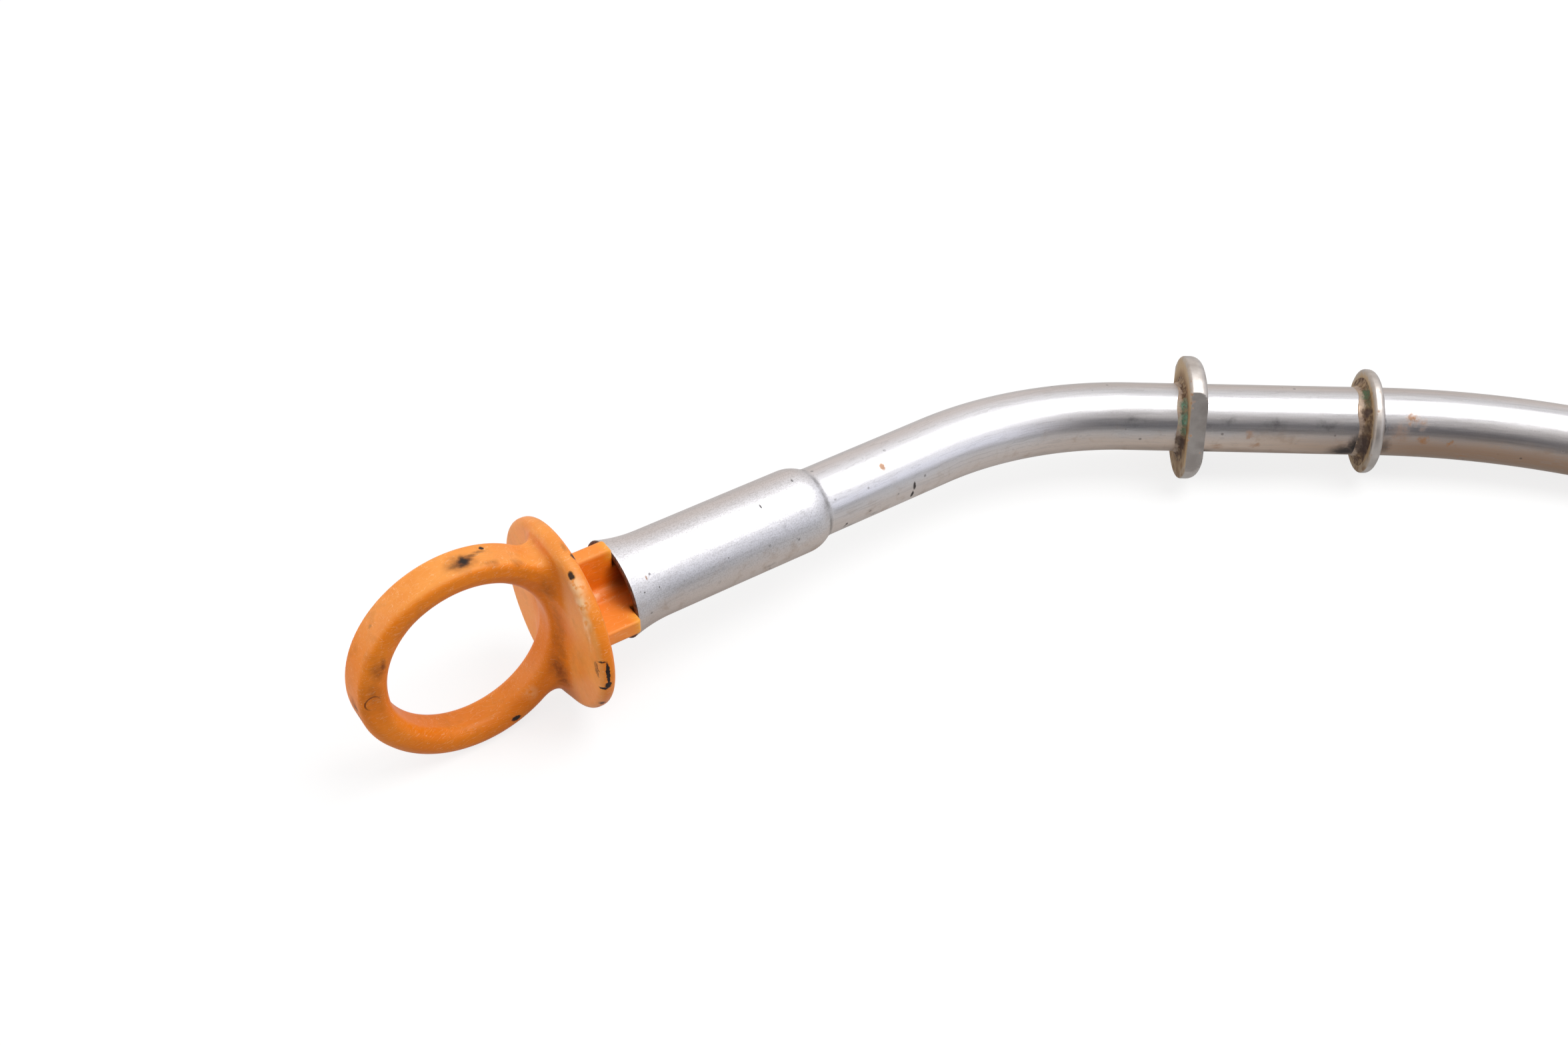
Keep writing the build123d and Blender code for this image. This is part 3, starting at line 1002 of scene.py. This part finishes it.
upper_darks = (
    ((-0.5, -5.3, -0.4), (1.8, 1.4, 1.6), 0.7, 0.9),
    ((-0.5, -4.8, -2.4), (1.8, 1.6, 1.4), 0.8, 0.5),
)
lower_greens = (
    ((-0.4, -0.6, 5.5), (1.6, 1.6, 1.2), 0.7, 0.95),
    ((-0.4, -2.2, 5.0), (1.6, 1.0, 1.1), 0.8, 0.6),
)
lower_darks = (
    ((-0.5, -3.6, 4.2), (1.8, 1.1, 1.1), 0.7, 0.9),
    ((-0.5, -5.2, -0.4), (1.8, 1.6, 3.4), 0.7, 1.0),
    ((-0.5, -4.9, 2.4), (1.8, 1.2, 1.6), 0.8, 0.75),
)
# Where the painted shade line in the shoulder's crease lies, and how wide it is
crease_place = 31.75
crease_width = 0.6


def orange_moulding():
    """Satin orange plastic, a little see-through, with smudges, nicks and scuffing of use; painted light on upward
    faces, the flange's ring-side face and the fin ends; painted highlights on the flange's rim and the core;
    painted shade in the ring's root and near the tube's mouth.
    """
    f = Finish("orange_moulding", Specular_IOR_Level=0.2, Subsurface_Weight=0.10, Subsurface_Scale=0.0012)
    f.shade("Subsurface Radius", (1.0, 0.42, 0.12))
    own = f.own()
    cloud = f.noise(own, 0.16, 4.0)
    grain = f.noise(own, 3.4, 3.0)
    f.ground(f.spread(cloud), plastic_deep, plastic_pale)
    f.coat(f.times(f.ramp(grain, 0.52, 0.72), 0.10), plastic_bleached_and_lit)
    along, _, up = f.parts(own)
    out = f.out_from_axis(own)
    # Painted light: upward faces, the flange's ring-side face and the fin ends are made paler, broken up by the
    # cloud.
    upward = f.parts(f.node("NewGeometry", {}).outputs["Normal"])[2]
    painted_light = f.times(f.ramp(upward, 0.45, 1.0), f.ramp(up, -3.0, 5.0, 0.4, 1.0))
    flange = f.times(f.ramp(along, flange_face - 0.4, flange_face), f.ramp(out, 4.0, 7.5))
    flange = f.times(flange, f.ramp(along, flange_face + 0.9, flange_face + 0.2))
    ends = f.times(f.ramp(along, 0.15 - fin_length, 0.75 - fin_length), f.ramp(out, 7.5, 8.1))
    painted_light = f.times(f.most(painted_light, flange, ends), f.spread(cloud, 0.26, 0.42))
    f.coat(f.ramp(along, -0.25 - fin_length, 0.55 - fin_length, 0.0, 0.7), plastic_fresh)
    f.coat(painted_light, plastic_bleached_and_lit)
    tips = f.times(f.ramp(along, -1.6, -0.3), f.ramp(along, 0.6, 0.2), f.ramp(out, 6.0, 7.2))
    f.coat(f.times(tips, f.spread(cloud, 0.4, 0.8)), plastic_yellow)
    film = f.times(f.ramp(f.noise(f.wandering(own, 0.5, 2.0), 0.32, 5.0), 0.5, 0.72), 0.16)
    f.coat(film, grime_and_shade_brown)
    # Scratch lines, and pale marks that are partly scuffing and partly painted highlights on the flange's rim and
    # the core
    scuff_lines_and_highlights = f.times(f.lines(own, (0.35, 1.2, 2.6), 1.1, 0.012), 0.28)
    patchy = f.ramp(f.noise(own, 1.1, 4.0), 0.34, 0.54)
    scuff_lines_and_highlights = f.most(scuff_lines_and_highlights, f.times(f.marks(f.wandering(own, 0.9, 1.2), pale_wear_and_highlights), patchy))
    f.coat(scuff_lines_and_highlights, plastic_scuffed_and_lit)
    # Painted shade: the shank and fins darken to brown towards the tube's mouth, less on the level fin's top.
    mouth_shade = f.times(f.ramp(along, -2.0, 0.9, 0.0, 0.8), f.ramp(out, 6.0, 4.8), f.ramp(up, 1.0, 2.4, 0.35, 1.0))
    f.coat(mouth_shade, mouth_shade_brown)
    # Brown smudges, and painted shade along the ring's root
    dirt_and_root_shade = f.marks(f.wandering(own, 0.5, 1.2), brown_smudges_and_root_shade)
    dirt_and_root_shade = f.times(dirt_and_root_shade, f.ramp(f.noise(own, 1.6, 5.0), 0.30, 0.66, 0.55, 1.0))
    f.coat(dirt_and_root_shade, grime_and_shade_brown)
    tar = f.marks(f.wandering(own, 2.6, 0.42), tar_marks)
    f.coat(tar, tar_and_shade_black)
    ring_mark = f.arc(f.wandering(own, 1.5, 0.12), arc_centre, arc_radius, arc_width, arc_side)
    f.coat(ring_mark, arc_brown)
    rough = f.between(f.most(scuff_lines_and_highlights, dirt_and_root_shade), f.spread(cloud, 0.33, 0.43), 0.58)
    relief = f.bump(grain, 0.010)
    relief = f.bump(f.noise(own, 0.9, 3.0), 0.030, relief)
    relief = f.bump(f.noise(f.wandering(own, 0.6, 1.0), 0.35, 2.0), 0.06, relief)
    return f.done(0.0, f.between(tar, rough, 0.5), f.bump(tar, -0.04, relief))


def drawn_steel():
    """Drawn steel: lengthwise grain, frosted bell, scratches, soot, rust; a brownish film below and a brown mouth
    that are partly painted reflection and shade, and painted shade in the shoulder's crease.
    """
    f = Finish("drawn_steel")
    own = f.own()
    along, side, up = f.parts(own)
    streak = f.noise(f.stretched(own, (0.045, 1.9, 1.9)), 1.0, 5.0, 0.6)
    mottle = f.noise(own, 2.4, 4.0, 0.66)
    patch = f.noise(f.stretched(own, (0.35, 1.0, 1.0)), 0.3, 4.0)
    f.ground(f.ramp(streak, 0.32, 0.68), steel_deep, steel_pale)
    f.coat(f.ramp(along, 84.0, 62.0, 0.0, 0.85), steel_bright)
    height = f.swayed(up, patch, 3.0)
    # Painted reflection and shade: a film on the lower half, and a little on the far side, partly stands for the
    # floor seen in the steel; a deeper brown at the bottom and towards the lower end partly stands for the shade
    # under the tube.
    warm_film_and_reflection = f.most(f.ramp(height, 2.6, -1.4), f.times(f.ramp(side, -0.6, 2.0), 0.45))
    frost = f.ramp(along, 33.5, 31.0)
    grain = f.noise(own, 5.5, 2.0)
    speckled = f.times(f.ramp(grain, 0.42, 0.68), f.between(frost, 0.14, 0.4))
    f.coat(speckled, steel_dull)
    f.coat(f.times(warm_film_and_reflection, f.ramp(along, 60.0, 100.0, 0.6, 0.9)), steel_film_and_reflection)
    far_down = f.times(f.ramp(up, 3.2, -1.0), f.ramp(along, 92.0, 130.0, 0.0, 0.8))
    under = f.most(f.ramp(height, -1.0, -4.6), far_down)
    f.coat(f.times(under, f.ramp(along, 70.0, 110.0, 0.5, 0.95)), steel_brown_and_shade)
    tan = f.ramp(f.noise(f.wandering(own, 0.4, 3.0), 0.45, 5.0), 0.52, 0.74)
    tan = f.times(tan, f.ramp(up, 3.4, 0.0, 0.03, 0.3))
    f.coat(tan, tan_stain)
    scratches = f.lines(own, (0.03, 1.6, 1.6), 1.2, 0.035)
    scratches = f.times(scratches, f.between(frost, 0.22, 0.14))
    f.coat(scratches, steel_dull)
    soot = f.marks(f.wandering(own, 0.7, 2.0), soot_smudges)
    soot = f.times(soot, f.ramp(f.noise(own, 1.1, 4.0), 0.25, 0.75, 0.1, 0.65))
    f.coat(soot, soot_grey)
    rust = f.marks(f.wandering(own, 1.1, 2.2), rust_spots)
    rust = f.times(rust, f.ramp(f.noise(own, 2.0, 4.0), 0.25, 0.5, 0.25, 1.0))
    rust = f.most(rust, f.marks(f.wandering(own, 3.0, 0.35), rust_specks))
    f.coat(rust, rust_brown)
    specks = f.times(f.specks(own, 0.5, 0.14), f.ramp(patch, 0.5, 0.6))
    specks = f.most(f.times(specks, 0.5), f.marks(f.wandering(own, 4.0, 0.25), dark_specks))
    # Painted shade: a soft dark line in the concave crease at the foot of the bell's shoulder.
    crease = f.ramp(f.away_from(f.swayed(along, mottle, 0.5), crease_place), crease_width, 0.05)
    crease = f.times(crease, f.ramp(f.noise(own, 0.5, 3.0), 0.3, 0.65, 0.12, 0.55))
    dark_marks_and_crease_shade = f.most(specks, crease, f.marks(f.wandering(own, 1.6, 1.2), dark_by_collars))
    f.coat(dark_marks_and_crease_shade, tar_and_shade_black)
    # The lip and bore are dark brown: rust on the lip, and painted shade down the bore.
    lip_rust_and_bore_shade = f.ramp(f.node("Attribute", {}, attribute_name="bare_inside").outputs["Fac"], 0.15, 0.6)
    f.coat(lip_rust_and_bore_shade, f.mix(f.spread(mottle), mouth_dark, mouth_brown))
    crust = f.most(f.times(dark_marks_and_crease_shade, 0.9), f.times(rust, 0.75), f.times(soot, 0.15), lip_rust_and_bore_shade)
    satin = f.between(frost, f.between(streak, 0.24, 0.34), f.between(mottle, 0.34, 0.46))
    satin = f.between(f.times(warm_film_and_reflection, 0.6), satin, 0.36)
    satin = f.between(f.ramp(along, 9.0, 1.0), satin, 0.52)
    rough = f.between(f.most(crust, tan), satin, 0.66)
    relief = f.bump(grain, f.between(frost, 0.002, 0.009), f.bump(streak, 0.005))
    relief = f.bump(mottle, f.between(frost, 0.006, 0.022), relief)
    relief = f.bump(f.noise(f.stretched(own, (0.3, 1.0, 1.0)), 0.5, 2.0), 0.035, relief)
    relief = f.bump(f.most(dark_marks_and_crease_shade, rust), 0.02, relief)
    return f.done(f.between(crust, 1.0, 0.0), rough, relief)


def collar_steel(name, radius):
    """Plated collar: satin rim with fine turning lines, its front stained tan and brown towards the tube."""
    f = Finish(name)
    own = f.own()
    along, _, up = f.parts(own)
    out = f.out_from_axis(own)
    cloud = f.noise(own, 0.55, 5.0)
    grain = f.noise(f.stretched(own, (2.4, 0.5, 0.5)), 1.6, 4.0)
    f.ground(f.spread(cloud), plated_deep, plated_pale)
    face = f.ramp(along, 0.34, 0.10)
    reach = f.swayed(out, f.noise(f.wandering(own, 0.5, 1.5), 0.45, 3.0), 2.2)
    tan = f.times(face, f.ramp(reach, radius + 0.3, radius - 1.2))
    brown = f.times(face, f.ramp(reach, radius - 1.0, tube_radius + 0.6))
    low = f.times(face, f.ramp(up, 0.5, -4.5, 0.0, 0.75))
    tan = f.most(tan, low)
    f.coat(tan, collar_tan)
    f.coat(f.most(brown, f.times(low, f.ramp(cloud, 0.42, 0.62))), collar_brown)
    edge = f.times(f.specks(own, 0.8, 0.25), f.ramp(cloud, 0.45, 0.6))
    f.coat(f.times(edge, 0.7), rust_brown)
    stained = f.most(tan, brown, edge)
    rough = f.between(stained, f.between(grain, 0.36, 0.48), 0.62)
    relief = f.bump(cloud, 0.05, f.bump(grain, 0.008))
    return f.done(f.between(stained, 1.0, 0.25), rough, relief)


def braze_crust(name, greens, darks, green_deep, green_pale):
    """Braze crust: brown and tan, green where flux was left, black with soot, brighter at its thin toe."""
    f = Finish(name)
    own = f.own()
    cloud = f.noise(own, 1.1, 5.0)
    fine = f.noise(own, 3.5, 4.0)
    f.ground(f.ramp(cloud, 0.36, 0.64), braze_tan, braze_brown)
    dark = f.marks(f.wandering(own, 1.2, 1.6), darks)
    f.coat(dark, mouth_dark)
    green = f.times(f.marks(f.wandering(own, 1.4, 1.4), greens), f.ramp(fine, 0.28, 0.48))
    f.coat(green, f.mix(f.ramp(cloud, 0.4, 0.6), green_deep, green_pale))
    thin = f.swayed(f.out_from_axis(own), fine, 0.35)
    toe = f.ramp(thin, tube_radius + 0.04, tube_radius + 0.26, 0.55, 0.0)
    f.coat(f.times(toe, f.ramp(dark, 0.2, 0.8, 1.0, 0.3)), steel_film_and_reflection)
    metal = f.between(f.most(dark, green), f.ramp(fine, 0.4, 0.7, 0.1, 0.6), 0.0)
    rough = f.between(toe, f.between(cloud, 0.48, 0.85), 0.38)
    relief = f.bump(fine, 0.05, f.bump(cloud, 0.10))
    return f.done(f.between(toe, metal, 1.0), rough, relief)


def seal_rubber():
    """Matt black rubber, greyed by use and smeared with oil."""
    f = Finish("seal_rubber")
    own = f.own()
    cloud = f.noise(own, 0.8, 5.0)
    fine = f.noise(own, 5.0, 3.0)
    oil = f.ramp(f.noise(f.wandering(own, 0.5, 1.0), 0.45, 3.0), 0.48, 0.62)
    f.ground(f.spread(cloud), rubber_black, rubber_grey)
    f.coat(f.times(oil, 0.5), rubber_oil)
    rough = f.between(oil, f.between(cloud, 0.6, 0.8), 0.25)
    return f.done(0.0, rough, f.bump(fine, 0.012))


def rolled_steel():
    """Rolled spring steel: fine grain, a film of brown oil and a few rust freckles."""
    f = Finish("rolled_steel")
    place = f.object_mm()
    cloud = f.noise(place, 0.12, 5.0)
    fine = f.noise(place, 2.5, 4.0)
    oil = f.ramp(f.noise(f.wandering(place, 0.3, 2.0), 0.16, 4.0), 0.44, 0.62)
    freckles = f.times(f.specks(place, 0.5, 0.3), f.ramp(cloud, 0.5, 0.62))
    f.ground(f.spread(cloud), blade_deep, blade_pale)
    f.coat(f.times(oil, 0.55), blade_oil)
    f.coat(freckles, rust_brown)
    rough = f.between(freckles, f.between(oil, f.between(fine, 0.28, 0.42), 0.14), 0.75)
    relief = f.bump(fine, 0.006, f.bump(cloud, 0.02))
    return f.done(f.between(freckles, 1.0, 0.1), rough, relief)


def dressed(thing, material, body, slot, *nodes):
    """Give a piece its finish, the body that it rides on and the solids that it stands for; the slot is not used.
    """
    thing.data.materials.clear()
    thing.data.materials.append(material)
    if body:
        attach(thing, body)
    if nodes:
        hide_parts(*nodes)
    return thing


def dress_object():
    """Make every piece and set it on its body."""
    steel = drawn_steel()
    flatted_steel = collar_steel("collar_steel_flatted", flatted_collar_radius)
    round_steel = collar_steel("collar_steel_round", round_collar_radius)
    upper_crust = braze_crust("braze_crust_upper", upper_greens, upper_darks, verdigris_deep, verdigris_pale)
    lower_crust = braze_crust("braze_crust_lower", lower_greens, lower_darks, olive_deep, olive_pale)
    dressed(guide_tube(), steel, "guide_tube", "tube_steel", "guide_tube")
    flatted = collar(
        "collar_with_flats", flatted_collar_place, flatted_collar_thickness,
        flatted_collar_radius, flatted_collar_edges, collar_flats,
    )
    dressed(flatted, flatted_steel, "guide_tube", "collar_steel", "flatted_collar")
    plain = collar(
        "collar_round", round_collar_place, round_collar_thickness, round_collar_radius, round_collar_edges,
    )
    dressed(plain, round_steel, "guide_tube", "collar_steel", "round_collar")
    upper = braze("braze_upper", flatted_collar_place, *upper_braze_size, upper_braze_seed)
    dressed(upper, upper_crust, "guide_tube", "collar_steel")
    lower = braze("braze_lower", round_collar_place, *lower_braze_size, lower_braze_seed)
    dressed(lower, lower_crust, "guide_tube", "collar_steel")
    dressed(pull_handle(), orange_moulding(), "dipstick", "orange_plastic", "pull_handle")
    dressed(seal_ring(), seal_rubber(), "dipstick", "seal_rubber", "seal_ring")
    blade = dressed(gauge_blade(), rolled_steel(), None, "blade_steel", "gauge_blade")
    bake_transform(blade)


def plan_ways():
    """Level directions to the camera's right and from the object towards the camera."""
    across = unit(camera_right @ axes * np.array((1.0, 1.0, 0.0)))
    return across, np.array((across[1], -across[0], 0.0))


def pale_floor():
    """Plain floor at the object's foot: white to the camera, pale to mirrors near it, with a soft shadow."""
    mesh = bpy.data.meshes.new("floor")
    corners = floor_half_width * np.array(((-1, -1, 0), (1, -1, 0), (1, 1, 0), (-1, 1, 0)))
    mesh.from_pydata(corners, [], [(0, 1, 2, 3)])
    floor = placed("floor", mesh)
    f = Finish("floor_white", Roughness=0.9, Specular_IOR_Level=0.0)
    f.shade("Base Color", (floor_bounce, floor_bounce, floor_bounce, 1.0))
    mirrored = f.node("LightPath", {}).outputs["Is Glossy Ray"]
    toward = plan_ways()[1]
    ahead = f.sum(f.along(f.node("TexCoord", {}).outputs["Object"], toward), -float(rim_place @ toward))
    in_mirrors = f.ramp(ahead, *floor_glow_fades, floor_near_glow, floor_far_glow)
    glow = f.between(mirrored, floor_glow, in_mirrors)
    lift = f.node("Emission", {"Color": (1.0, 1.0, 1.0, 1.0), "Strength": glow})
    soft = f.node("BsdfDiffuse", {"Color": (floor_shade, floor_shade, floor_shade, 1.0)})
    both = f.node("AddShader", {0: lift.outputs[0], 1: soft.outputs[0]})
    shown = f.node("MixShader", {0: f.seen(), 1: f.shader.outputs[0], 2: both.outputs[0]})
    f.put(f.tree.nodes["Material Output"].inputs["Surface"], shown.outputs[0])
    mesh.materials.append(f.material)


def camera():
    """Camera where the photograph was taken from."""
    data = bpy.data.cameras.new("camera")
    data.sensor_width = sensor_width
    data.lens = sensor_width * photo_focal_length / photo_width
    data.clip_start = camera_near
    thing = placed("camera", data)
    right, back = unit(camera_right @ axes), -unit(camera_forward @ axes)
    turn = Matrix(np.stack((right, np.cross(back, right), back), 1).tolist())
    thing.matrix_world = Matrix.LocRotScale(Vector(to_row(camera_place)), turn, None)
    bpy.context.scene.camera = thing


def overhead_lamp():
    """Square lamp aimed at the origin, as bright as a white card lit to its level."""
    data = bpy.data.lights.new("overhead", "AREA")
    data.shape = "SQUARE"
    data.size = lamp_size
    data.energy = lamp_level * pi * lamp_size**2
    thing = placed("overhead", data)
    place = np.array((lamp_aside, lamp_ahead)) @ np.array(plan_ways()) + lamp_height * straight_up
    thing.location = place
    thing.rotation_mode = "QUATERNION"
    thing.rotation_quaternion = (-Vector(place)).to_track_quat("-Z", "Y")


def studio_surround():
    """Surround: in mirrors pale, bright above, dark by the camera; as a light brightest at both sides."""
    world = bpy.data.worlds.new("surround")
    bpy.context.scene.world = world
    world.use_nodes = True
    w = Nodes(world.node_tree)
    way = w.node("TexCoord", {}).outputs["Generated"]
    across, toward = plan_ways()
    aside, ahead, height = w.along(way, across), w.along(way, toward), w.parts(way)[2]
    patch = w.ramp(w.away_from(aside, patch_middle), patch_core, patch_edge, 1.0, 0.0)
    patch = w.times(patch, w.ramp(ahead, *patch_ahead), w.ramp(height, patch_low_top, patch_top, 1.0, 0.0))
    lean = np.tan(np.radians((bright_aside, bright_ahead)))
    above = unit(lean[0] * across + lean[1] * toward + straight_up)
    edge, core = np.cos(np.radians((bright_edge, bright_core))).tolist()
    mirrored = w.mix(w.ramp(aside, *right_aside), surround_pale, surround_right)
    mirrored = w.mix(patch, mirrored, surround_dark)
    mirrored = w.mix(w.ramp(w.along(way, above), edge, core), mirrored, surround_bright)
    low = w.ramp(height, *lit_side_heights)
    lit = w.mix(w.times(w.ramp(aside, *lit_left_aside), low), surround_lit, surround_left)
    lit = w.mix(patch, lit, surround_unlit)
    lit = w.mix(w.times(w.ramp(aside, *lit_right_aside), low), lit, surround_lit_right)
    w.put(w.tree.nodes["Background"].inputs["Color"], w.mix(w.seen(), lit, mirrored))


bpy.context.scene.view_settings.view_transform = "Standard"
dress_object()
pale_floor()
camera()
overhead_lamp()
studio_surround()
